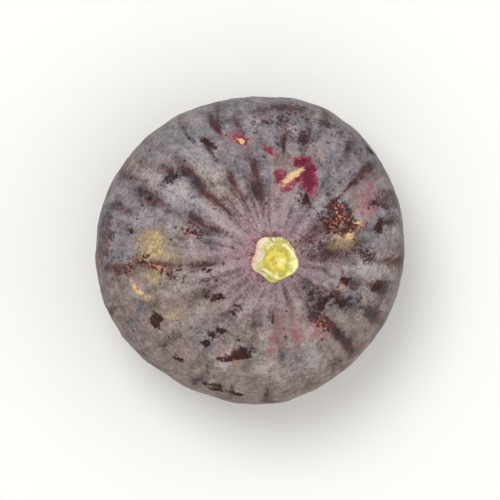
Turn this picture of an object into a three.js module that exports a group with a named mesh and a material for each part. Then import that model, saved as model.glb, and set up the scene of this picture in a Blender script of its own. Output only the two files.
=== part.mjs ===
// A ripe black fig, whole, as picked: the ribbed fruit with its neck, the cut stub of the stem on the neck,
// and the small scales that close the eye underneath. It stands on the flat round its eye and leans a little.
// Millimetres, +Z up. The origin is under the middle of the fruit's outline, on the surface it stands on.
import * as THREE from "three";

const { degToRad, euclideanModulo, smoothstep } = THREE.MathUtils;

// Driving dimensions. Heights are along the fruit's own axis, from the lowest ring of its base.
const FRUIT_RADIUS = 29;
const BELLY_HEIGHT = 23; // of the widest ring
const SHOULDER_RADIUS = 18.5; // where the round shoulder turns into the cone of the neck
const SHOULDER_HEIGHT = 41;
const NECK_RADIUS = 4.5;
const NECK_TOP = 52;
const NECK_EDGE = 0.4; // the neck's rounded top edge
const LIP_RADIUS = 7; // of the puckered ring round the eye
const EYE_RADIUS = 3.2;
const EYE_DEPTH = 2.1;

// How the outline swings between those rings: the arms of its curves, and the slopes they lie on.
const EYE_ARM = 0.9;
const LIP_ARM = 2.4;
const BASE_ARM = 11.3;
const BELLY_ARM_DOWN = 13.3;
const BELLY_ARM_UP = 9;
const SHOULDER_ARM = 6.8;
const SHOULDER_SLOPE = degToRad(36);
const NECK_ARM = 3.4;
const NECK_SLOPE = degToRad(55);

// The stem was cut short. It goes on from the neck, with three small blunt bracts at its foot.
const STEM_LENGTH = 4.4;
const STEM_RADIUS = 3.4;
const CUT_RADIUS = 3.3;
const CUT_EDGE = 0.4; // the rounded edge of the cut
const FOOT_RADIUS = 4;
const FOOT_FLARE = 2.2; // how far up the stem its foot flares
const PITH_RADIUS = 0.9;
const PITH_DEPTH = 0.5;
const STEM_WAVES = [
  [3, 0.16, degToRad(95)],
  [4, 0.14, degToRad(20)],
];
const BRACT_HEIGHT = 1.6;
const BRACT_REACH = 0.45;
const BRACT_WIDTH = degToRad(24);
const BRACT_BEARINGS = [30, 150, 265].map(degToRad);

// The scales in the eye lie in whorls, and their tips point to its middle.
const EYE_SCALE_WHORLS = [
  { tipRadius: 1.75, scales: 5, turn: 0.3 },
  { tipRadius: 0.95, scales: 5, turn: 0.95 },
  { tipRadius: 0.3, scales: 4, turn: 0.1 },
];
const EYE_SCALE_STEP = 0.24; // from one whorl to the next
const EYE_SCALE_BACK = 0.35; // the thickness behind the innermost whorl
const EYE_SCALE_RADIUS = 2.7;
const EYE_SCALE_TIP = 0.45; // how far a scale's tip reaches past its sides
const EYE_SCALE_EDGE = 0.2;

// Pieces that lie on each other keep this gap.
const GAP = 0.3;

// Ribs run from the neck over the shoulder, and fade at the belly and towards the eye.
const RIB_BEARINGS = [
  1, 15, 31, 47, 62, 76, 89, 103, 118, 134, 151, 168, 184, 204, 226, 245, 262, 279, 294, 310, 327, 344,
].map(degToRad);
const RIB_HEIGHT = 0.6;
const RIB_UNEVENNESS = 0.25; // the share by which ribs differ in height
const RIB_WIDTH = degToRad(4.5);
const RIB_FULL_RADIUS = 16; // nearer the axis the ribs crowd together, and are lower
const RIB_CROWDING = 1.4;
const RIB_END_RADIUS = 17.5; // where they start to fade under the belly
const BELLY_RIB_SHARE = 0.3;

// The outline from above isn't a true circle: [waves round it, height, bearing of one crest].
const OUTLINE_WAVES = [
  [2, 0.3, degToRad(36)],
  [3, 0.35, degToRad(52)],
  [5, 0.2, degToRad(-13)],
];

// The fruit leans this way, and its neck bends further.
const LEAN_BEARING = degToRad(-29);
const LEAN = degToRad(2);
const NECK_BEND = 3;
const PRESSED_FLAT = 0.7; // how much of the base its own weight has flattened

// Facets
const FRUIT_SIDES = 120;
const FRUIT_RINGS = [1, 4, 13, 12, 9, 1, 1]; // on each curve of the outline, from the eye to the neck
const STEM_SIDES = 36;
const STEM_RINGS = [1, 4, 4, 2, 3, 1];
const EYE_SIDES = 30;
const EYE_RINGS = [10, 1, 1];

// A solid turned about +Z from an outline of (radius, height) curves, with so many points on each curve.
function turned(outline, pointsPerCurve, sides) {
  const points = outline.curves.flatMap((curve, i) => curve.getPoints(pointsPerCurve[i]).slice(i ? 1 : 0));
  return new THREE.LatheGeometry(points, sides).rotateX(Math.PI / 2);
}

// Moves every vertex of a geometry. What is passed in is the vertex and its outward normal.
function reshape(geometry, move) {
  const { position, normal } = geometry.attributes;
  const vertex = new THREE.Vector3();
  const outward = new THREE.Vector3();
  for (let i = 0; i < position.count; i += 1) {
    vertex.fromBufferAttribute(position, i);
    outward.fromBufferAttribute(normal, i);
    move(vertex, outward);
    position.setXYZ(i, vertex.x, vertex.y, vertex.z);
  }
  return geometry;
}

// The smaller angle from one bearing to another, with its sign.
function bearingBetween(from, to) {
  return euclideanModulo(to - from + Math.PI, 2 * Math.PI) - Math.PI;
}

// A rounded ridge at one bearing, from 0 beside it to 1 on it.
function ridge(bearing, at, width) {
  return Math.exp(-((bearingBetween(at, bearing) / width) ** 2));
}

// A wavy departure from a circle.
function waviness(bearing, waves) {
  return waves.reduce((sum, [count, size, crest]) => sum + size * Math.cos(count * (bearing - crest)), 0);
}

// How strong the ribs are at a radius and height on the fruit, from 0 to 1.
function ribStrength(radius, height) {
  const overShoulder = smoothstep(height, BELLY_HEIGHT, SHOULDER_HEIGHT);
  const nearAxis = Math.min(1, radius / RIB_FULL_RADIUS) ** RIB_CROWDING;
  const fromEye = height > BELLY_HEIGHT ? 1 : smoothstep(radius, LIP_RADIUS, RIB_END_RADIUS);
  return (BELLY_RIB_SHARE + (1 - BELLY_RIB_SHARE) * overShoulder) * nearAxis * fromEye;
}

// No two neighbouring ribs are equally high.
function ribHeight(at) {
  return RIB_HEIGHT * (1 - RIB_UNEVENNESS + RIB_UNEVENNESS * Math.sin(7 * at));
}

// Carries a point from the upright axis to the leaning fruit: the neck bends, then the whole fruit tips.
const leanWay = new THREE.Vector3(Math.cos(LEAN_BEARING), Math.sin(LEAN_BEARING), 0);
const tipAxis = new THREE.Vector3(0, 0, 1).cross(leanWay);
function lean(vertex) {
  const upNeck = Math.max(0, (vertex.z - BELLY_HEIGHT) / (NECK_TOP - BELLY_HEIGHT));
  vertex.addScaledVector(leanWay, NECK_BEND * upNeck ** 2).applyAxisAngle(tipAxis, LEAN);
}

// The body: the eye, the puckered lip round it, the belly, the shoulder and the neck.
function fruitBody() {
  const shoulderOut = SHOULDER_ARM * Math.cos(SHOULDER_SLOPE);
  const shoulderDown = SHOULDER_ARM * Math.sin(SHOULDER_SLOPE);
  const neckOut = NECK_ARM * Math.cos(NECK_SLOPE);
  const neckDown = NECK_ARM * Math.sin(NECK_SLOPE);
  const neckSide = NECK_TOP - NECK_EDGE;
  const outline = new THREE.Path()
    .moveTo(0, EYE_DEPTH)
    .lineTo(EYE_RADIUS, EYE_DEPTH)
    .bezierCurveTo(EYE_RADIUS + EYE_ARM, EYE_DEPTH, LIP_RADIUS - LIP_ARM, 0, LIP_RADIUS, 0)
    .bezierCurveTo(
      LIP_RADIUS + BASE_ARM, 0,
      FRUIT_RADIUS, BELLY_HEIGHT - BELLY_ARM_DOWN,
      FRUIT_RADIUS, BELLY_HEIGHT,
    )
    .bezierCurveTo(
      FRUIT_RADIUS, BELLY_HEIGHT + BELLY_ARM_UP,
      SHOULDER_RADIUS + shoulderOut, SHOULDER_HEIGHT - shoulderDown,
      SHOULDER_RADIUS, SHOULDER_HEIGHT,
    )
    .bezierCurveTo(
      SHOULDER_RADIUS - shoulderOut, SHOULDER_HEIGHT + shoulderDown,
      NECK_RADIUS + neckOut, neckSide - neckDown,
      NECK_RADIUS, neckSide,
    )
    .quadraticCurveTo(NECK_RADIUS, NECK_TOP, NECK_RADIUS - NECK_EDGE, NECK_TOP)
    .lineTo(0, NECK_TOP);
  return reshape(turned(outline, FRUIT_RINGS, FRUIT_SIDES), (vertex, outward) => {
    const radius = Math.hypot(vertex.x, vertex.y);
    const bearing = Math.atan2(vertex.y, vertex.x);
    const ribs = RIB_BEARINGS.reduce((sum, at) => sum + ribHeight(at) * ridge(bearing, at, RIB_WIDTH), 0);
    const swell = waviness(bearing, OUTLINE_WAVES) * smoothstep(radius, LIP_RADIUS, FRUIT_RADIUS);
    vertex.addScaledVector(outward, ribStrength(radius, vertex.z) * ribs + swell);
    lean(vertex);
  });
}

// The cut stub: its foot with the bracts, the short stalk, and the dished cut with the pith in it.
function stemStub() {
  const foot = NECK_TOP + GAP;
  const waist = foot + FOOT_FLARE;
  const cut = foot + STEM_LENGTH;
  const outline = new THREE.Path()
    .moveTo(0, foot)
    .lineTo(FOOT_RADIUS, foot)
    .bezierCurveTo(FOOT_RADIUS, foot + FOOT_FLARE / 2, STEM_RADIUS, foot + FOOT_FLARE / 2, STEM_RADIUS, waist)
    .bezierCurveTo(STEM_RADIUS, waist + CUT_EDGE, CUT_RADIUS, cut - 2 * CUT_EDGE, CUT_RADIUS, cut - CUT_EDGE)
    .quadraticCurveTo(CUT_RADIUS, cut, CUT_RADIUS - CUT_EDGE, cut)
    .quadraticCurveTo(2 * PITH_RADIUS, cut, PITH_RADIUS, cut - PITH_DEPTH / 2)
    .lineTo(0, cut - PITH_DEPTH);
  return reshape(turned(outline, STEM_RINGS, STEM_SIDES), (vertex) => {
    const bearing = Math.atan2(vertex.y, vertex.x);
    const radius = Math.hypot(vertex.x, vertex.y);
    const bracts = BRACT_BEARINGS.reduce((sum, at) => sum + ridge(bearing, at, BRACT_WIDTH), 0);
    const atFoot = 1 - smoothstep(vertex.z, foot, foot + BRACT_HEIGHT);
    const reach = BRACT_REACH * bracts * atFoot + waviness(bearing, STEM_WAVES);
    const stretch = 1 + (reach * smoothstep(radius, 0, CUT_RADIUS)) / CUT_RADIUS;
    vertex.set(vertex.x * stretch, vertex.y * stretch, vertex.z);
    lean(vertex);
  });
}

// The rosette in the eye, seen from below: each whorl of scales ends in tips that point to the middle.
function eyeScales() {
  const back = EYE_DEPTH - GAP;
  const front = back - EYE_SCALE_BACK;
  const outline = new THREE.Path()
    .moveTo(0, front)
    .lineTo(EYE_SCALE_RADIUS, front)
    .lineTo(EYE_SCALE_RADIUS, back)
    .lineTo(0, back);
  return reshape(turned(outline, EYE_RINGS, EYE_SIDES), (vertex) => {
    const bearing = Math.atan2(vertex.y, vertex.x);
    const radius = Math.hypot(vertex.x, vertex.y);
    const underside = vertex.z < (front + back) / 2;
    EYE_SCALE_WHORLS.filter(() => underside).forEach(({ tipRadius, scales, turn }) => {
      const fromTip = 1 - Math.abs(Math.sin((scales * (bearing - turn)) / 2));
      const edge = tipRadius + EYE_SCALE_TIP * fromTip;
      vertex.z -= EYE_SCALE_STEP * smoothstep(radius, edge, edge + EYE_SCALE_EDGE);
    });
    lean(vertex);
  });
}

// Sets the leaning fig down: its base is pressed flat on z = 0, and its outline is centred on the origin.
function settle(geometries, fruit) {
  fruit.computeBoundingBox();
  const floor = fruit.boundingBox.min.z + PRESSED_FLAT;
  const middle = fruit.boundingBox.getCenter(new THREE.Vector3());
  geometries.forEach((geometry) => {
    reshape(geometry, (vertex) => {
      vertex.set(vertex.x - middle.x, vertex.y - middle.y, Math.max(0, vertex.z - floor));
    });
  });
}

function skin(color, roughness) {
  return new THREE.MeshStandardMaterial({ color, roughness, metalness: 0 });
}

const fruitShape = fruitBody();
const stemShape = stemStub();
const eyeShape = eyeScales();
settle([fruitShape, stemShape, eyeShape], fruitShape);

const fruit = new THREE.Mesh(fruitShape, skin(0x7d6c70, 0.75));
fruit.name = "fruit";
const stem = new THREE.Mesh(stemShape, skin(0xd9c86c, 0.6));
stem.name = "stem";
const eye = new THREE.Mesh(eyeShape, skin(0x7a4a44, 0.7));
eye.name = "eye_scales";

const fig = new THREE.Group();
fig.add(fruit, stem, eye);

export default fig;
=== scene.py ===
import math

import bpy
import numpy as np
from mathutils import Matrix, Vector, noise


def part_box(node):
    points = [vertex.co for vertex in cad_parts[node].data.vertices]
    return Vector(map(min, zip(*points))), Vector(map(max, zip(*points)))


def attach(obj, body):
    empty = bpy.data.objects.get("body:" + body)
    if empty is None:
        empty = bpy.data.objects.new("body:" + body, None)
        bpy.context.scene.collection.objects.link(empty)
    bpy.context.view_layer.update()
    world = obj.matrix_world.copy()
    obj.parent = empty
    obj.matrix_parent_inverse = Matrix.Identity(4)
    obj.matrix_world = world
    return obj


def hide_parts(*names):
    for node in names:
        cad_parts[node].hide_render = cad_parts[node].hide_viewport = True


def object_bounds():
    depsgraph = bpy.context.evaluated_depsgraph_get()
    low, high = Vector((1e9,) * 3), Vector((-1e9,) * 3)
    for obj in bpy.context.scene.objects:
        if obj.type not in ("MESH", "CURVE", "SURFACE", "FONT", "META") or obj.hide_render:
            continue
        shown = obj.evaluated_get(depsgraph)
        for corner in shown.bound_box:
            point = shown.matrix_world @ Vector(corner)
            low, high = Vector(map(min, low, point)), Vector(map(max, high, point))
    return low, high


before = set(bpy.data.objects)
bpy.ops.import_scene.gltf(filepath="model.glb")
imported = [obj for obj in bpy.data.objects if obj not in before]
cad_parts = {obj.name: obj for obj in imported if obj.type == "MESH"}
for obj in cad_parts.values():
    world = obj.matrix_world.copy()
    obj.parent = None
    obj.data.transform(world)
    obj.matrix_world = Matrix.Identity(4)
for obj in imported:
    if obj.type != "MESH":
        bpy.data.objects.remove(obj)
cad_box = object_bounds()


# The fruit is one soft body in a thin skin: dark aubergine under a waxy grey bloom, ribbed from the neck
# over the shoulder. It is a finer copy of the CAD solid, whose points are moved for the fine ribs, folds,
# wrinkles and scars. Each point also keeps how far it is from the marks, for the skin's colours.
MM = 0.001
BELLY = 22.0  # the height of the widest ring, in millimetres as all sizes of the fig here
SEEN_DOWN_TO = BELLY - 4  # marks seen from above are put no lower than this
AXIS_STRAIGHT = 0.38  # the share of the stem's offset that the lean makes; the neck's bend makes the rest
SHOULDER_ARC = 25.0  # the radius of a round fruit that the meridians are measured along
RIB_DRUM = 14.0  # the radius of the drum that the ribs are laid out on, for noise that runs along them
FAR = 40.0  # a distance past the edge of every mark
VIEWPOINT = np.array((-14, -5, BELLY + 800))  # where the fig is looked down on from
RIB_BEARINGS = (
    1, 15, 31, 47, 62, 76, 89, 103, 118, 134, 151,
    168, 184, 204, 226, 245, 262, 279, 294, 310, 327, 344,
)

# Dark streaks and pale folds along the ribs: the bearing, how far below the stem they start and end, their
# width at the end, and their strength.
STREAKS = (
    (96, 4, 21, 1.3, 1.0), (99, 20, 29, 0.9, 0.7), (113, 4, 19, 1.1, 0.9), (116, 19, 25, 0.9, 1.0),
    (105, 25, 36, 1.0, 0.8), (108, 23, 31, 1.0, 1.1), (132, 4, 27, 1.7, 1.0), (124, 4, 14, 0.6, 0.7),
    (139, 21, 26, 2.2, 0.8), (155, 5, 17, 1.8, 0.9), (154, 15, 29, 1.9, 0.85),
    (163, 25, 32, 1.2, 0.8), (-171, 7, 15, 1.1, 0.8), (-173, 14, 24, 1.5, 0.95),
    (-146, 8, 17, 1.0, 0.7), (-122, 7, 16, 0.7, 0.6), (-80, 10, 21, 1.0, 0.55),
    (-46, 12, 34, 1.1, 1.3), (-51, 12, 19, 0.9, 0.8), (-38, 5, 16, 2.2, 0.6), (-30, 10, 23, 1.2, 0.9),
    (-29, 25, 33, 1.1, 0.8), (-18, 16, 21, 1.3, 0.9), (-16, 21, 30, 1.9, 1.0), (-2, 3, 20, 3.4, 0.66),
    (-5, 20, 40, 1.4, 0.9), (5, 13, 21, 1.3, 0.9), (12, 22, 31, 1.2, 1.0), (24, 3, 15, 2.4, 0.8),
    (36, 17, 32, 1.1, 1.05), (22, 22, 45, 0.8, 0.6), (54, 10, 16, 1.6, 0.8), (68, 20, 26, 1.3, 0.7),
    (88, 26, 32, 1.4, 0.8), (76, 27, 33, 2.4, 0.6), (47, 24, 34, 2.2, 0.5), (78, 17, 25, 1.2, 0.9),
    (3, 12, 19, 1.0, 0.8),
)
FOLDS = (
    (13, 3, 23, 1.1, 1.8), (39, 3, 16, 1.5, 1.0), (104, 3, 18, 1.2, 0.6), (122, 6, 24, 1.9, 0.8),
    (143, 4, 22, 1.9, 0.9), (166, 6, 22, 2.2, 0.6), (84, 6, 17, 1.6, 0.5), (60, 5, 13, 2.0, 0.4),
    (-15, 6, 15, 2.0, 0.6), (-62, 8, 30, 2.0, 0.6), (-87, 8, 28, 1.8, 0.6), (-110, 6, 17, 1.8, 0.5),
    (-135, 8, 22, 2.0, 0.5), (-160, 7, 20, 2.2, 0.5), (8, 22, 32, 1.6, 0.8), (-10, 22, 33, 1.5, 0.8),
    # The last one, at -107, is a painted highlight: a pale spot low on the front, also raised a little.
    (-9, 14, 24, 1.6, 1.3), (-107, 19, 25, 1.0, 2.0),
)

# Marks on the skin, as they are seen from the viewpoint at the height of the belly: the middle's x and y,
# the length, the width, and the bearing of the length.
SCABS = (
    (-1.1, -19.5, 3.4, 2.2, 10), (-3.9, -20.0, 2.6, 1.2, 15), (-17.8, -13.1, 2.8, 2.2, 70),
    (-6.2, -9.0, 2.4, 0.9, 10), (-5.4, -15.1, 1.6, 1.0, 20), (-7.2, -16.3, 1.0, 0.8, 60),
    (-8.2, -17.4, 1.2, 0.7, 40), (16.9, 9.9, 1.0, 0.6, 50), (-6.2, -26.2, 2.2, 1.4, 0),
    (-7.0, -25.2, 2.6, 0.9, 0), (-2.9, -26.8, 2.8, 0.9, -10), (-13.3, -20.3, 1.3, 0.9, 0),
    (-2.0, -10.5, 0.9, 0.7, 0), (-3.1, -11.8, 0.8, 0.6, 0), (-7.9, -4.1, 1.2, 0.8, 10),
    (24.0, -7.0, 2.2, 1.4, 0), (14.2, -9.9, 2.6, 1.1, 50), (17.4, -10.0, 3.0, 1.2, -38),
    (18.4, -5.9, 1.3, 1.0, 0), (10.8, 9.6, 2.6, 1.2, -58), (24.4, 4.6, 2.4, 1.6, 60),
    (22.6, 18.4, 1.6, 1.0, -60), (-22.7, 3.5, 0.9, 0.7, 0), (-19.3, 9.4, 1.0, 0.6, 40),
    (-7.9, 20.2, 2.4, 0.9, -50), (-13.6, -3.9, 1.0, 0.6, 0),
)
RAW_RED = (
    (11.4, 14.0, 7.4, 3.6, 75), (9.8, 16.8, 4.2, 2.8, 20), (5.6, 13.7, 3.0, 2.3, 90),
    (6.9, 11.9, 4.2, 1.8, 20), (8.8, 13.4, 4.4, 2.2, 55), (3.8, 18.8, 3.2, 1.5, -60),
    (-1.9, 20.7, 4.0, 2.2, -58), (12.6, 11.6, 2.4, 1.3, -70),
)
CREAM_CRACKS = (
    (7.9, 13.9, 5.0, 0.9, 45), (-21.8, -6.7, 1.4, 0.6, -45), (-20.6, -8.0, 1.2, 0.5, -40),
    (-19.6, -8.9, 1.0, 0.6, 0), (18.4, 2.4, 1.9, 1.0, 10), (-1.9, 20.9, 1.1, 0.5, -60),
    (20.3, 5.0, 1.0, 0.7, 0),
)
CORKY_SPLITS = (
    (17.0, 6.9, 5.0, 3.5, -60), (15.5, 4.8, 4.2, 2.2, 50), (19.8, 4.8, 3.8, 2.4, 35),
    (17.8, 3.6, 3.2, 1.8, 0), (17.3, -6.2, 2.0, 1.4, 70), (13.6, -14.3, 2.4, 1.3, -40),
    (23.4, 8.9, 1.4, 1.1, 0), (-17.0, -3.5, 4.8, 0.7, -9), (-18.8, -2.3, 2.6, 0.7, -25),
    (-11.0, 3.6, 2.4, 0.8, -30), (-23.2, -3.2, 1.6, 0.7, 60),
)
OLIVE_PATCHES = (
    (-18.2, 1.4, 6.4, 4.4, 0), (-17.6, -0.6, 7.0, 3.0, -15), (-14.2, -12.6, 2.6, 1.2, 10),
    (17.6, 2.2, 5.0, 3.0, 0), (-18.4, -4.2, 3.0, 2.4, 0),
)
ROSY_PATCHES = (
    (5.3, -16.2, 5.4, 2.2, 80), (8.8, -15.6, 5.2, 2.0, -75), (21.8, 9.4, 8.4, 4.6, 50),
    (13.2, -15.2, 5.0, 2.8, -50), (-1.8, 20.8, 4.8, 3.4, -60), (2.0, 0.2, 3.6, 2.0, -40),
    (-3.4, -20.0, 5.0, 2.8, 10),
)
BARE_SKIN = (  # where the bloom is rubbed off
    (22.2, -1.4, 3.4, 2.2, 0), (23.6, -12.0, 4.0, 7.0, 60), (-27.6, 2.0, 9.6, 7.0, 82),
    (8.0, 26.8, 9.0, 3.2, -18), (15.2, 23.6, 6.0, 2.0, -32), (26.4, 9.6, 4.0, 12.0, -70),
    (-15.2, 12.6, 3.2, 1.2, 30), (2.0, 24.4, 3.0, 1.6, 0), (16.6, 5.8, 9.0, 6.0, -50),
    (8.6, 22.4, 9.0, 1.6, -62), (16.0, -9.0, 6.0, 1.2, -8), (13.2, 0.4, 9.0, 3.4, 0),
    (12.9, -11.8, 4.2, 1.2, 80),
)
THICK_BLOOM = (  # where the bloom was never touched
    (-15.0, 14.0, 20.0, 11.0, 48), (9.0, -21.5, 16.0, 7.0, 22), (21.0, -9.5, 8.0, 4.0, 70),
)


def finer_copy(node, name, levels):
    """A CAD node's copy as one smooth mesh: its triangles are merged, paired into quads and divided."""
    bpy.ops.object.select_all(action="DESELECT")
    piece = bpy.data.objects.new(name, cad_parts[node].data.copy())
    bpy.context.scene.collection.objects.link(piece)
    piece.data.name = name
    piece.data.materials.clear()
    piece.select_set(True)
    bpy.context.view_layer.objects.active = piece
    bpy.ops.mesh.customdata_custom_splitnormals_clear()
    bpy.ops.object.mode_set(mode="EDIT")
    bpy.ops.mesh.select_all(action="SELECT")
    bpy.ops.mesh.remove_doubles(threshold=0.002 * MM)
    bpy.ops.mesh.tris_convert_to_quads(face_threshold=math.radians(50), shape_threshold=math.radians(50))
    bpy.ops.object.mode_set(mode="OBJECT")
    finer = piece.modifiers.new("finer", "SUBSURF")
    finer.levels = finer.render_levels = levels
    bpy.ops.object.modifier_apply(modifier="finer")
    bpy.ops.object.shade_smooth()
    return piece


def vertex_rows(piece, what):
    """The places or the normals of a piece's vertices, as rows of a numpy array."""
    rows = np.zeros(3 * len(piece.data.vertices), np.float32)
    piece.data.vertices.foreach_get(what, rows)
    return rows.reshape(-1, 3).astype(float)


def place_vertices(piece, rows):
    piece.data.vertices.foreach_set("co", rows.astype(np.float32).ravel())
    piece.data.update()


def keep_on_mesh(piece, name, values):
    """Stores a number or a vector for each vertex, which the material reads by its name."""
    kind, key = ("FLOAT_VECTOR", "vector") if values.ndim == 2 else ("FLOAT", "value")
    piece.data.attributes.new(name, kind, "POINT").data.foreach_set(key, values.astype(np.float32).ravel())


def smooth_step(low, high, value):
    share = np.clip((value - low) / (high - low), 0, 1)
    return share * share * (3 - 2 * share)


def grain(rows, size):
    """Smooth random values from -1 to 1 at some points, with lumps about as large as size."""
    return np.array([noise.noise(Vector(row)) for row in rows / size])


def middle(node):
    low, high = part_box(node)
    return np.array((low + high) / 2) / MM


eye_middle = middle("eye_scales")
stem_middle = middle("stem")


def round_the_axis(rows):
    """Each point's bearing about the fig's bent axis, and its distance from it."""
    height = rows[:, 2] / stem_middle[2]
    bend = np.clip((rows[:, 2] - BELLY) / (stem_middle[2] - BELLY), 0, None) ** 2
    share = AXIS_STRAIGHT * height + (1 - AXIS_STRAIGHT) * bend
    off = rows[:, :2] - eye_middle[:2] - share[:, None] * (stem_middle - eye_middle)[:2]
    return np.arctan2(off[:, 1], off[:, 0]), np.hypot(off[:, 0], off[:, 1])


def on_drum(size, bearings, heights):
    """Places on an upright drum. Noise stretched in height there runs up along a rib or a fibre."""
    return np.column_stack((size * np.cos(bearings), size * np.sin(bearings), heights))


fruit = finer_copy("fruit", "fruit_skin", 2)
rest = vertex_rows(fruit, "co") / MM
normals = vertex_rows(fruit, "normal")
bearing, radius = round_the_axis(rest)
latitude = np.arctan2(rest[:, 2] - BELLY, radius)
below_stem = SHOULDER_ARC * (math.pi / 2 - latitude)
meridian = on_drum(RIB_DRUM, bearing, SHOULDER_ARC * latitude)

# What keeps the streaks from being straight and even, and the marks from being smooth ovals.
wander = 0.7 * grain(meridian + 10, 4) + 0.3 * grain(meridian + 50, 1.5)
swell = 1 + 0.7 * grain(meridian + 30, 2.5)
ragged_edge = 0.5 * grain(rest + 30, 1.5) + 0.3 * grain(rest + 70, 0.8)


def along_ribs(streaks):
    """How strongly each vertex is streaked, from 0 up. A streak wanders, and widens towards its end."""
    strongest = np.zeros(len(rest))
    for rib, start, end, width, strength in streaks:
        off = (bearing - math.radians(rib) + math.pi) % (2 * math.pi) - math.pi
        off = off * radius + wander * smooth_step(2, 12, radius)
        widened = width * swell * (0.3 + 0.7 * smooth_step(start, 0.3 * start + 0.7 * end, below_stem))
        window = smooth_step(start - 1, (start + end) / 2, below_stem) ** 0.5
        window *= smooth_step(end + 2, end - (end - start) / 4, below_stem)
        strongest = np.maximum(strongest, strength * window * np.exp(-((off / widened) ** 2)))
    return strongest


def seen_from_above(marks):
    """Marks as the vertex in their middle, their length and width, and the direction of the length."""
    nearer = (VIEWPOINT[2] - BELLY) / (VIEWPOINT[2] - rest[:, 2:])
    seen = VIEWPOINT + (rest - VIEWPOINT) * nearer
    for x, y, length, width, turn in marks:
        off_plan = np.hypot(seen[:, 0] - x, seen[:, 1] - y) + FAR * (rest[:, 2] < SEEN_DOWN_TO)
        turn = math.radians(turn)
        yield np.argmin(off_plan), length, width, (math.cos(turn), math.sin(turn), 0)


def on_the_flanks(count, length, width, seed):
    """Marks at random where the view from above doesn't reach, upright or leaning."""
    draw = np.random.default_rng(seed)
    hidden = np.flatnonzero((rest[:, 2] > 2) & (rest[:, 2] < BELLY))
    for at in draw.choice(hidden, count):
        size = draw.uniform(0.5, 1.5)
        yield at, length * size, width * size * draw.uniform(0.7, 1.3), (*draw.uniform(-0.8, 0.8, 2), 1)


def distance_to(marks):
    """How far each vertex is outside the nearest of some long round marks, or below 0 inside one."""
    nearest = np.full(len(rest), FAR)
    for at, length, width, direction in marks:
        away = rest - rest[at]
        across = np.cross(normals[at], direction)
        across /= np.linalg.norm(across)
        along = np.cross(across, normals[at])
        parts = (away @ along / length, away @ across / width, away @ normals[at] / length)
        reach = np.sqrt(sum((2 * part) ** 2 for part in parts))
        nearest = np.minimum(nearest, (reach - 1) * width / 2)
    return nearest + ragged_edge


# Fainter streaks at random on every rib: one from the neck, and three further down.
rib_streaks = []
draw = np.random.default_rng(5)
for rib in RIB_BEARINGS:
    rib_streaks.append((rib, 3, draw.uniform(12, 22), 0.8, draw.uniform(0.4, 0.8)))
    for start in (24, 38, 52):
        start += draw.uniform(-6, 6)
        streak = (start, start + draw.uniform(8, 20), draw.uniform(0.7, 1.5), draw.uniform(0.2, 0.85))
        rib_streaks.append((rib + draw.uniform(-4, 4), *streak))
streaks = along_ribs((*STREAKS, *rib_streaks))
folds = along_ribs(FOLDS)
scab_distance = distance_to((*seen_from_above(SCABS), *on_the_flanks(26, 2.2, 1.3, seed=1)))
crack_distance = distance_to((*seen_from_above(CREAM_CRACKS), *on_the_flanks(4, 3.4, 0.8, seed=2)))
split_distance = distance_to((*seen_from_above(CORKY_SPLITS), *on_the_flanks(5, 4.0, 2.0, seed=3)))
red_distance = distance_to(seen_from_above(RAW_RED))
olive_distance = distance_to(seen_from_above(OLIVE_PATCHES))
rosy_distance = distance_to((*seen_from_above(ROSY_PATCHES), *on_the_flanks(4, 5, 1.6, seed=4)))
thick_distance = distance_to(seen_from_above(THICK_BLOOM))
bare_distance = distance_to((*seen_from_above(BARE_SKIN), *on_the_flanks(9, 9, 2.6, seed=6)))

# The relief along each point's normal. Ribs, wrinkles and folds stand up, streaks and wounds are sunken,
# and a scab lies within a raised rim. It fades towards the flat that the fig stands on and the stem.
upper = smooth_step(BELLY - 4, BELLY + 14, rest[:, 2])
near_neck = smooth_step(15, 6, radius) * upper
flutes = grain(meridian * (1, 1, 0.06) + 20, 3.4)
fine_ribs = grain(meridian * (1, 1, 0.07), 1.5) + 0.5 * grain(meridian * (1, 1, 0.1) + 40, 0.7)
wrinkles = grain(np.column_stack((meridian[:, :2] * 0.4, 1.6 * rest[:, 2])), 1.3)
relief = 0.18 * grain(rest, 13) + 0.14 * grain(rest + 60, 5) + 0.05 * grain(rest + 90, 1.4)
ribs = (0.08 + 0.28 * upper) * flutes + (0.06 + 0.10 * upper) * fine_ribs
relief += smooth_step(3, 10, radius) * ribs
relief += 0.10 * near_neck * wrinkles + 0.26 * folds
relief -= (0.07 + 0.15 * upper) * streaks + 0.16 * smooth_step(0.3, -0.6, red_distance)
relief -= 0.30 * smooth_step(0.3, -0.7, np.minimum(split_distance, crack_distance))
relief += 0.14 * smooth_step(0.9, 0.2, np.abs(scab_distance))
relief -= 0.22 * smooth_step(0.1, -0.8, scab_distance)
relief *= smooth_step(0.0, 3.0, rest[:, 2]) * smooth_step(1.0, 4.2, radius)

# Round the eye underneath the skin is drawn together in puckers.
under_side = rest[:, 2] < BELLY / 4
round_eye = under_side * smooth_step(13, 5, radius) * smooth_step(2.8, 3.8, radius)
puckers = grain(meridian * (0.5, 0.5, 0.05) + 80, 1.0) + 0.4 * grain(meridian * (0.5, 0.5, 0.1) + 15, 0.5)
relief -= 0.34 * round_eye * smooth_step(0, 0.6, puckers)
moved = rest + normals * relief[:, None]
moved[:, 2] = np.maximum(moved[:, 2], 0)
place_vertices(fruit, moved * MM)

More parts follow.
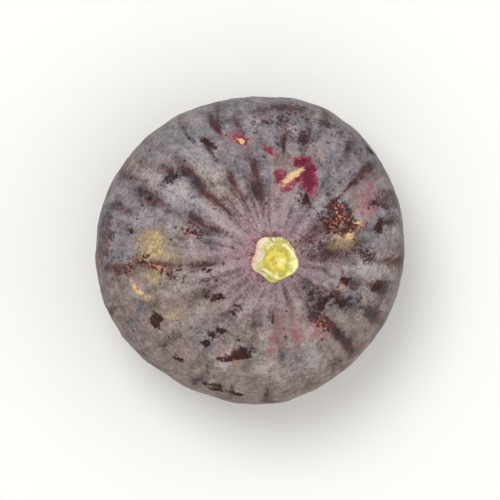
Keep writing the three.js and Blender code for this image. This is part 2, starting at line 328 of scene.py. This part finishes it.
keep_on_mesh(fruit, "meridian", meridian)
keep_on_mesh(fruit, "streaks", streaks)
# The flutes go in with the folds, so the skin is paler on their crests and darker in their grooves.
keep_on_mesh(fruit, "folds", folds + 0.5 * flutes)
keep_on_mesh(fruit, "from_stem", radius + FAR * (rest[:, 2] < SEEN_DOWN_TO))
keep_on_mesh(fruit, "from_eye", radius + FAR * ~under_side)
keep_on_mesh(fruit, "scabs", scab_distance)
keep_on_mesh(fruit, "raw_red", red_distance)
keep_on_mesh(fruit, "cracks", crack_distance)
keep_on_mesh(fruit, "splits", split_distance)
keep_on_mesh(fruit, "olive", olive_distance)
keep_on_mesh(fruit, "rosy", rosy_distance)
keep_on_mesh(fruit, "thick_bloom", thick_distance)
keep_on_mesh(fruit, "bare", bare_distance)


class Shade:
    """One output of a material's node. Operators on it add Math nodes, and node() adds any other."""

    def __init__(self, tree, output):
        self.tree = tree
        self.output = output

    def node(self, kind, inputs, out=0, **settings):
        made = self.tree.nodes.new("ShaderNode" + kind)
        for name, value in settings.items():
            if name == "stops":
                set_stops(made.color_ramp, value)
            else:
                setattr(made, name, value)
        for name, value in inputs.items():
            if isinstance(value, Shade):
                self.tree.links.new(value.output, made.inputs[name])
            else:
                made.inputs[name].default_value = value
        return Shade(self.tree, made.outputs[out])

    def math(self, operation, *values):
        """A Math node on this number and others."""
        return self.node("Math", dict(enumerate((self, *values))), operation=operation)

    def __add__(self, other):
        return self.math("ADD", other)

    __radd__ = __add__

    def __sub__(self, other):
        return self.math("SUBTRACT", other)

    def __rsub__(self, other):
        return (self * -1) + other

    def __mul__(self, other):
        return self.math("MULTIPLY", other)

    __rmul__ = __mul__

    def step(self, low, high):
        """From 0 at low to 1 at high, smoothly. Low may be the larger one."""
        inputs = {"Value": self, "From Min": low, "From Max": high}
        return self.node("MapRange", inputs, interpolation_type="SMOOTHSTEP")

    def tint(self, below, above):
        """The colour below where this mask is 0, and the colour above where it is 1."""
        return self.node("Mix", {0: self, 6: below, 7: above}, out=2, data_type="RGBA")

    def grain(self, size, detail=2.0, roughness=0.5):
        """Noise from 0 to 1 on this vector, with lumps about as large as size in the vector's unit."""
        inputs = {"Vector": self, "Scale": 1 / size, "Detail": detail, "Roughness": roughness}
        return self.node("TexNoise", inputs)

    def dots(self, per_mm):
        """How far this vector is from the nearest of some scattered dots, as a share of their spacing."""
        inputs = {"Vector": self, "Scale": per_mm, "Randomness": 1.0}
        return self.node("TexVoronoi", inputs, out="Distance")

    def stretched(self, x, y, z):
        return self.node("VectorMath", {0: self, 1: (x, y, z)}, operation="MULTIPLY")

    def stored(self, name, out="Fac"):
        """What keep_on_mesh stored under a name."""
        return self.node("Attribute", {}, out=out, attribute_name=name)


def set_stops(ramp, stops):
    while len(ramp.elements) < len(stops):
        ramp.elements.new(0.5)
    for element, (position, color) in zip(ramp.elements, stops):
        element.position = position
        element.color = color


def srgb(red, green, blue):
    """A colour given as on a screen, 0 to 255, in the linear values that the shader takes."""
    parts = (part / 255 for part in (red, green, blue))
    linear = (part / 12.92 if part <= 0.04045 else ((part + 0.055) / 1.055) ** 2.4 for part in parts)
    return (*linear, 1.0)


def new_finish(name):
    """A new material, its shader, and the piece's own coordinates in millimetres to start from."""
    finish = bpy.data.materials.new(name)
    finish.use_nodes = True
    tree = finish.node_tree
    shader = tree.nodes["Principled BSDF"]
    place = Shade(tree, tree.nodes.new("ShaderNodeTexCoord").outputs["Object"])
    return finish, shader, place.node("VectorMath", {0: place, "Scale": 1 / MM}, operation="SCALE")


def connect(shader, **values):
    """Links shades to the shader's sockets. A name's underscores are the socket's spaces."""
    for name, value in values.items():
        value.tree.links.new(value.output, shader.inputs[name.replace("_", " ")])


AUBERGINE = srgb(42, 26, 32)
WINE = srgb(92, 46, 58)
BLOOM_COOL = srgb(141, 136, 142)
BLOOM_WARM = srgb(147, 131, 123)
BLOOM_MAUVE = srgb(160, 136, 142)
BLOOM_PALE = srgb(176, 169, 170)
OLIVE = srgb(172, 148, 110)
OLIVE_BRIGHT = srgb(194, 172, 120)
ROSE = srgb(144, 72, 86)
PETAL_PINK = srgb(190, 142, 148)
SALMON = srgb(182, 132, 112)
MAROON = srgb(82, 40, 46)
EYE_RED = srgb(128, 70, 66)
CRIMSON = srgb(100, 22, 50)
RAW_PINK = srgb(172, 96, 108)
CREAM = srgb(230, 202, 158)
RUST = srgb(146, 66, 42)
SCAB = srgb(42, 16, 14)
BARK = srgb(84, 44, 36)
STRAW = srgb(210, 170, 106)
TORN_CRUST = ((0.40, SCAB), (0.46, MAROON), (0.52, BARK), (0.55, RUST), (0.60, SALMON), (0.67, CREAM))
PORES_PER_MM = 0.62
FLECKS_PER_MM = 0.40

skin, skin_shader, place = new_finish("fig_skin")
lines = place.stored("meridian", "Vector")
broad = place.grain(11, 3)
patches = place.grain(4.2, 4, 0.6)
mottle = place.grain(1.3, 6, 0.7)
specks = place.grain(0.42, 3, 0.6)
grains = place.grain(0.7, 5, 0.75)
fibres = lines.stretched(1, 1, 0.09).grain(0.9, 4, 0.6)
hair_lines = lines.stretched(1, 1, 0.05).grain(0.35, 2)
from_stem = place.stored("from_stem")
from_crack = place.stored("cracks")
streaked = place.stored("streaks")
folded = place.stored("folds")

# Noise about 0, which breaks up the edges of the marks.
patchy = patches - 0.5
ragged = mottle - 0.5
speckled = specks - 0.5

# How much of the bloom is left. It is rubbed off along the streaks, in blotches and round the eye, and it
# is thick on the folds, near the stem and where the skin was never touched. The last fold, low on the
# front, is a painted highlight.
near_stem = from_stem.step(21, 8)
near_eye = (place.stored("from_eye") + ragged * 3.0).step(8, 3)
bare = (place.stored("bare") + ragged * 6.0 + patchy * 3.0 + speckled * 3.0).step(0.8, -0.9)
untouched = (place.stored("thick_bloom") + patchy * 5.0 + ragged * 3.0).step(2.0, -2.5)
rubbed = (mottle * 0.55 + patches * 0.55 + fibres * 0.35).step(0.80, 0.98)
bloom = (broad - 0.5) * 0.15 + patchy + ragged * 1.7 + (fibres - 0.5) * 1.2
bloom = bloom + speckled * 1.4 + (grains - 0.5) + folded * 0.17 + untouched * 0.14 + 0.74
bloom = bloom - streaked * 0.56 - bare * 0.58 - rubbed * 0.25 + near_stem * 0.13 - near_eye * 0.22
bloom = bloom.node("Clamp", {"Value": bloom, "Min": 0.02, "Max": 1.0})

under = patches.step(0.38, 0.66).tint(AUBERGINE, WINE)
sunny_side = place.node("SeparateXYZ", {"Vector": place}, out="Y") * -0.006
wax = (broad + patchy * 0.4 + sunny_side).step(0.34, 0.62).tint(BLOOM_COOL, BLOOM_WARM)
wax = from_stem.step(17, 4).tint(wax, BLOOM_MAUVE)
thick = patches * 0.45 + mottle * 0.55 + specks * 0.3 + folded * 0.10 + untouched * 0.05
wax = thick.step(0.64, 0.94).tint(wax, BLOOM_PALE)
color = bloom.tint(under, wax)

# Scuffs along the streaks and between them, which dried brown.
scuffs = (streaked + (fibres - 0.5) * 1.8 + ragged * 2.6 + speckled * 0.8).step(0.62, 1.05)
dried = (patches + ragged * 0.9 + speckled * 0.7).step(0.38, 0.66).tint(AUBERGINE, BARK)
color = (scuffs * 0.92).tint(color, dried)

# Olive patches where the skin stayed unripe, and the reddish skin round the eye.
olive = (place.stored("olive") + patchy * 5.0 + ragged * 2.5).step(1.4, -1.6)
color = (olive * 0.6).tint(color, OLIVE)
color = (olive * (mottle + specks * 0.5).step(0.70, 0.86)).tint(color, OLIVE_BRIGHT)
color = (near_eye * fibres.step(0.38, 0.62) * 0.6).tint(color, EYE_RED)

# Rosy patches with darker dots, a salmon rim round the cracks, the neck's pink collar, and a dark ring at
# the foot of the stem: dried skin, and painted shade in the crease where the stem meets the neck.
rosy = (place.stored("rosy") + ragged * 6.0).step(1.2, -1.2)
color = (rosy * 0.26).tint(color, PETAL_PINK)
color = (rosy * (grains + specks * 0.5).step(0.72, 0.84) * 0.9).tint(color, ROSE)
color = ((from_crack + ragged * 4.0).step(1.0, -0.4) * 0.5).tint(color, SALMON)
collar = (from_stem + ragged * 4.0 + patchy * 5.0).step(6.0, 4.0) * (fibres + mottle).step(0.75, 1.15)
color = (collar * 0.7).tint(color, patches.step(0.40, 0.60).tint(PETAL_PINK, SALMON))
# Dried skin and painted shade: the skin round the stem's foot darkens to dried brown.
dried_and_shaded_ring = (from_stem + ragged * 3.5 + speckled * 1.5).step(5.2, 3.9) * fibres.step(0.40, 0.56)
color = (dried_and_shaded_ring * 0.75).tint(color, dried)

# The wounds: raw red flesh, splits with a crust torn open to the cream inside, scabs, and cream cracks.
from_red = place.stored("raw_red") + ragged * 2.4
raw_red = from_red.step(0.30, -0.25)
flesh = (specks * 0.6 + patches + ragged * 0.6).step(0.70, 1.00).tint(CRIMSON, ROSE)
flesh = ((from_red + speckled * 1.6).step(-0.7, 0.2) * 0.6).tint(flesh, RAW_PINK)
color = raw_red.tint(color, flesh)
splits = (place.stored("splits") + ragged * 5.0 + speckled * 2.0).step(0.6, -0.3)
tear = grains + patchy * 0.45 + ragged * 0.3 + speckled * 0.2
color = splits.tint(color, tear.node("ValToRGB", {"Fac": tear}, stops=TORN_CRUST))
scabs = (place.stored("scabs") + ragged * 2.4 + speckled * 1.2).step(0.50, -0.05)
color = (scabs * 0.95).tint(color, (specks + mottle).step(0.90, 1.3).tint(SCAB, BARK))
cracks = (from_crack + ragged * 1.4 + speckled * 1.4).step(0.30, -0.08)
color = cracks.tint(color, (specks * 0.5 + grains).step(0.55, 0.90).tint(STRAW, CREAM))

# Corky dots of the skin's pores, and small brown flecks.
pore = place.dots(PORES_PER_MM).step(0.15, 0.07) * patches.step(0.45, 0.60)
fleck = (place.dots(FLECKS_PER_MM) + ragged * 0.5).step(0.13, 0.07)
color = (pore * 0.30).tint(color, CREAM)
color = (fleck * 0.8).tint(color, SCAB)

wounds = raw_red.math("MAXIMUM", scabs).math("MAXIMUM", splits)
rough = 0.50 + bloom * 0.32 + wounds * 0.1
height = fibres * 0.6 + mottle * 0.5 + specks * 0.2 + hair_lines * 0.14 + pore * 0.2
height = height - scabs * 0.3 + grains * splits - scuffs * 0.3
bump = place.node("Bump", {"Height": height, "Strength": 0.7, "Distance": 0.26 * MM})
connect(skin_shader, Base_Color=color, Roughness=rough, Normal=bump)
skin_shader.inputs["Specular IOR Level"].default_value = 0.25
skin_shader.inputs["Subsurface Weight"].default_value = 0.04
skin_shader.inputs["Subsurface Scale"].default_value = 1.5 * MM

fruit.data.materials.append(skin)
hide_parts("fruit")
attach(fruit, "root")


# The stem is the stub of the stalk left on when the fig was cut: fibrous and yellow-green, with three
# small blunt bracts at its foot and a dished cut that dried to straw. It grows out of the neck, so it goes
# on down into the fruit.
STEM_ROOT = 0.9  # how far it reaches into the neck
STEM_DRUM = 3.6  # the radius of the drum that its fibres are laid out on
STEM_EDGES = 5  # the blunt edges round the stalk
CUT_SLANT = 1.1  # how much lower the cut is on its low side
SLANT_BEARING = math.radians(-60)
BLUSH_AND_HIGHLIGHT_BEARING = math.radians(165)  # the side of the foot that is tinged pink and made paler by a painted highlight

STEM_GREEN = srgb(160, 158, 60)
STEM_YELLOW = srgb(212, 198, 78)
STEM_OCHRE = srgb(188, 146, 44)
STEM_PALE = srgb(238, 228, 166)
STEM_BROWN = srgb(140, 96, 52)
STEM_PAINTED_HIGHLIGHT = srgb(244, 228, 200)
STEM_BLUSH = srgb(212, 132, 130)

stem = finer_copy("stem", "stem_stub", 2)
rest = vertex_rows(stem, "co") / MM
normals = vertex_rows(stem, "normal")
bearing, radius = round_the_axis(rest)
foot, cut = rest[:, 2].min(), rest[:, 2].max()
up = (rest[:, 2] - foot) / (cut - foot)
fibre_lines = on_drum(STEM_DRUM, bearing, rest[:, 2] * 0.18)
five_sided = np.cos(STEM_EDGES * bearing + math.pi / 2) * smooth_step(1.0, 3.2, radius)
relief = 0.26 * five_sided + 0.10 * grain(rest, 1.2)
relief += 0.10 * grain(fibre_lines, 1.4) * smooth_step(1.4, 3.2, radius)
relief += 0.16 * grain(rest + 20, 2.2) * smooth_step(0.5, 1.0, up)
moved = rest + normals * relief[:, None]
across_cut = radius * np.cos(bearing - SLANT_BEARING) / radius.max()
moved[:, 2] -= CUT_SLANT * smooth_step(0.2, 1.0, up) * (1 + across_cut) / 2
moved[:, 2] -= STEM_ROOT * smooth_step(0.12, 0.0, up)
place_vertices(stem, moved * MM)
keep_on_mesh(stem, "up", up)
keep_on_mesh(stem, "from_pith", radius)
keep_on_mesh(stem, "fibre_lines", fibre_lines)
keep_on_mesh(stem, "blush", np.cos(bearing - BLUSH_AND_HIGHLIGHT_BEARING) - up)

stem_skin, stem_shader, place = new_finish("fig_stem")
risen = place.stored("up")
from_pith = place.stored("from_pith")
fibres = place.stored("fibre_lines", "Vector").grain(0.7, 4, 0.6)
flecks = place.grain(0.35, 4, 0.65)
blots = place.grain(1.5, 3, 0.6)
flecked = flecks - 0.5
blotted = blots - 0.5

# The sides: green at the foot and yellow above, with pale fibres, brown specks, a pink tinge at one
# side of the foot, and a painted cream highlight over that side.
side = (risen + blotted * 0.5).step(0.05, 0.75).tint(STEM_GREEN, STEM_YELLOW)
side = fibres.step(0.42, 0.60).tint(side, STEM_PALE)
side = (blots * 0.6 + flecks * 0.5).step(0.62, 0.72).tint(side, STEM_BROWN)
blush = place.stored("blush") + (fibres - 0.5) * 2
# Painted highlight: the left side of the stem turns cream, most at the foot.
side = (blush.step(-0.3, 0.4) * 0.8).tint(side, STEM_PAINTED_HIGHLIGHT)
side = (blush.step(0.4, 1.0) * 0.8).tint(side, STEM_BLUSH)

# The cut: green veins in rings round the pith, ochre where it dried, and a pale rim.
veins = (from_pith + blotted * 2.6 + flecked).math("PINGPONG", 1.2).step(0.9, 0.3)
dish = (veins * 0.7).tint(STEM_YELLOW, STEM_GREEN)
dish = ((blots + flecked * 0.5).step(0.50, 0.62) * 0.8).tint(dish, STEM_OCHRE)
dish = (from_pith + blotted * 4.0 + flecked * 1.6).step(2.2, 3.4).tint(dish, STEM_PALE)
pith = (from_pith + blotted * 1.5 + flecked * 0.9).step(0.9, 0.4)
dish = (pith * 0.6).tint(dish, STEM_PALE)
dish = (flecks.step(0.60, 0.70) * 0.5).tint(dish, STEM_BROWN)
on_cut = (risen * 10 + blotted * 0.6).step(9.0, 9.4)
color = on_cut.tint(side, dish)
height = fibres * 0.4 + flecks * 0.4
bump = place.node("Bump", {"Height": height, "Strength": 0.5, "Distance": 0.15 * MM})
connect(stem_shader, Base_Color=color, Roughness=flecks * 0.25 + 0.45, Normal=bump)
stem_shader.inputs["Subsurface Weight"].default_value = 0.12
stem_shader.inputs["Subsurface Scale"].default_value = 1.2 * MM

stem.data.materials.append(stem_skin)
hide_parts("stem")
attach(stem, "root")


# The eye underneath is closed by whorls of small dry scales, reddish brown with papery pale edges, that
# overlap and point to the middle. They grow from the rim of the eye. The gaps between them are darkened
# with painted shade.
WHORLS = (  # the radius of the tips, how many scales, and the bearing of a gap in radians
    (1.75, 5, 0.3), (0.95, 5, 0.95), (0.3, 4, 0.1),
)
SCALE_TIP = 0.45  # how far a tip reaches past the scale's sides
SCALE_BROWN = srgb(132, 68, 58)
SCALE_PALE = srgb(196, 142, 106)
SCALE_GAP_SHADE = srgb(46, 20, 22)

eye = finer_copy("eye_scales", "eye_rosette", 3)
rest = vertex_rows(eye, "co") / MM
off = rest - eye_middle
bearing, radius = np.arctan2(off[:, 1], off[:, 0]), np.hypot(off[:, 0], off[:, 1])
from_edge = np.zeros(len(rest))
from_gap = np.zeros(len(rest))
for tip_radius, count, gap in reversed(WHORLS):
    waved = np.sin(count * (bearing - gap) / 2)
    edge = tip_radius + SCALE_TIP * (1 - np.abs(waved))
    from_edge = np.where(radius > edge, radius - edge, from_edge)
    from_gap = np.where(radius > edge, radius * 2 / count * np.abs(np.arcsin(waved)), from_gap)
under_side = off[:, 2] < 0
bulge = 0.16 * smooth_step(0, 0.4, from_gap) + 0.08 * grain(rest + 5, 0.5) * smooth_step(0, 0.3, from_gap)
moved = rest - np.outer(under_side * (bulge + 0.10 * smooth_step(0.4, 0.05, from_edge)), (0, 0, 1))
moved[:, 2] = np.maximum(moved[:, 2], 0)
place_vertices(eye, moved * MM)
keep_on_mesh(eye, "from_edge", from_edge)
keep_on_mesh(eye, "from_gap", from_gap)

eye_skin, eye_shader, place = new_finish("fig_eye")
flecks = place.grain(0.3, 4, 0.6)
blots = place.grain(1.1, 3, 0.6)
flecked = flecks - 0.5
color = (blots + flecked * 0.8).step(0.40, 0.70).tint(SCALE_BROWN, ROSE)
papery = (place.stored("from_edge") + flecked * 0.3).step(0.26, 0.05)
color = (papery * 0.85).tint(color, SCALE_PALE)
# Painted shade: the gaps between the scales turn almost black.
color = (place.stored("from_gap") + flecked * 0.3).step(0.16, 0.02).tint(color, SCALE_GAP_SHADE)
bump = place.node("Bump", {"Height": flecks, "Strength": 0.5, "Distance": 0.15 * MM})
connect(eye_shader, Base_Color=color, Roughness=flecks * 0.2 + 0.6, Normal=bump)

eye.data.materials.append(eye_skin)
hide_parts("eye_scales")
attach(eye, "root")


# The floor, the light and the camera. The fig stands on white paper under a wide soft light, in a pale
# tent, with one stronger lamp from the upper left and two low, faint ones. The camera looks down from a
# little to the left of the fig and below it.
FIG_SHARE = 0.62  # of the picture's width
SENSOR = 36.0  # the width of the camera's, in millimetres
PAPER_WHITE = srgb(236, 235, 232)
TENT_LIGHT = 0.20  # what the tent's walls add to the light
TENT_SEEN = 0.660  # how bright they look behind the fig
TENT_COLOR = (1.0, 0.99, 0.96, 1.0)

bpy.ops.object.select_all(action="DESELECT")
bpy.ops.mesh.primitive_circle_add(vertices=96, radius=4, fill_type="NGON", location=(0, 0, 0))
floor = bpy.context.object
floor.name = "floor"
paper, paper_shader, place = new_finish("floor_paper")
paper_shader.inputs["Base Color"].default_value = PAPER_WHITE
paper_shader.inputs["Roughness"].default_value = 0.9
floor.data.materials.append(paper)


def area_light(name, location, size, power):
    """A round lamp that points at the fig, in metres and watts. The camera doesn't see it."""
    light = bpy.data.lights.new(name, "AREA")
    light.shape = "DISK"
    light.size = size
    light.energy = power
    lamp = bpy.data.objects.new(name, light)
    lamp.location = location
    lamp.rotation_euler = (Vector((0, 0, 0.03)) - Vector(location)).to_track_quat("-Z", "Y").to_euler()
    lamp.visible_camera = False
    bpy.context.scene.collection.objects.link(lamp)


area_light("key", (-0.24, 0.32, 1.05), size=0.5, power=4.9)
area_light("low_front", (0.10, -0.95, 0.40), size=0.9, power=0.6)
area_light("low_right", (0.90, -0.10, 0.40), size=0.9, power=1.3)

roof = bpy.data.lights.new("roof", "SUN")
roof.energy = 1.9
roof.angle = math.radians(100)
bpy.context.scene.collection.objects.link(bpy.data.objects.new("roof", roof))

world = bpy.data.worlds.new("tent")
bpy.context.scene.world = world
world.use_nodes = True
ray = Shade(world.node_tree, world.node_tree.nodes.new("ShaderNodeLightPath").outputs["Is Camera Ray"])
tent = world.node_tree.nodes["Background"].inputs
tent["Color"].default_value = TENT_COLOR
world.node_tree.links.new(ray.node("Mix", {0: ray, 2: TENT_LIGHT, 3: TENT_SEEN}).output, tent["Strength"])
bpy.context.scene.view_settings.view_transform = "Standard"

low, high = cad_box
camera = bpy.data.objects.new("camera", bpy.data.cameras.new("camera"))
bpy.context.scene.collection.objects.link(camera)
camera.location = VIEWPOINT * MM
right, back, above = VIEWPOINT - (0, 0, BELLY)
camera.rotation_euler = (-math.atan2(back, above), math.atan2(right, above), 0)
camera.data.sensor_width = SENSOR
camera.data.lens = SENSOR * above * MM * FIG_SHARE / (high.x - low.x)
bpy.context.scene.camera = camera
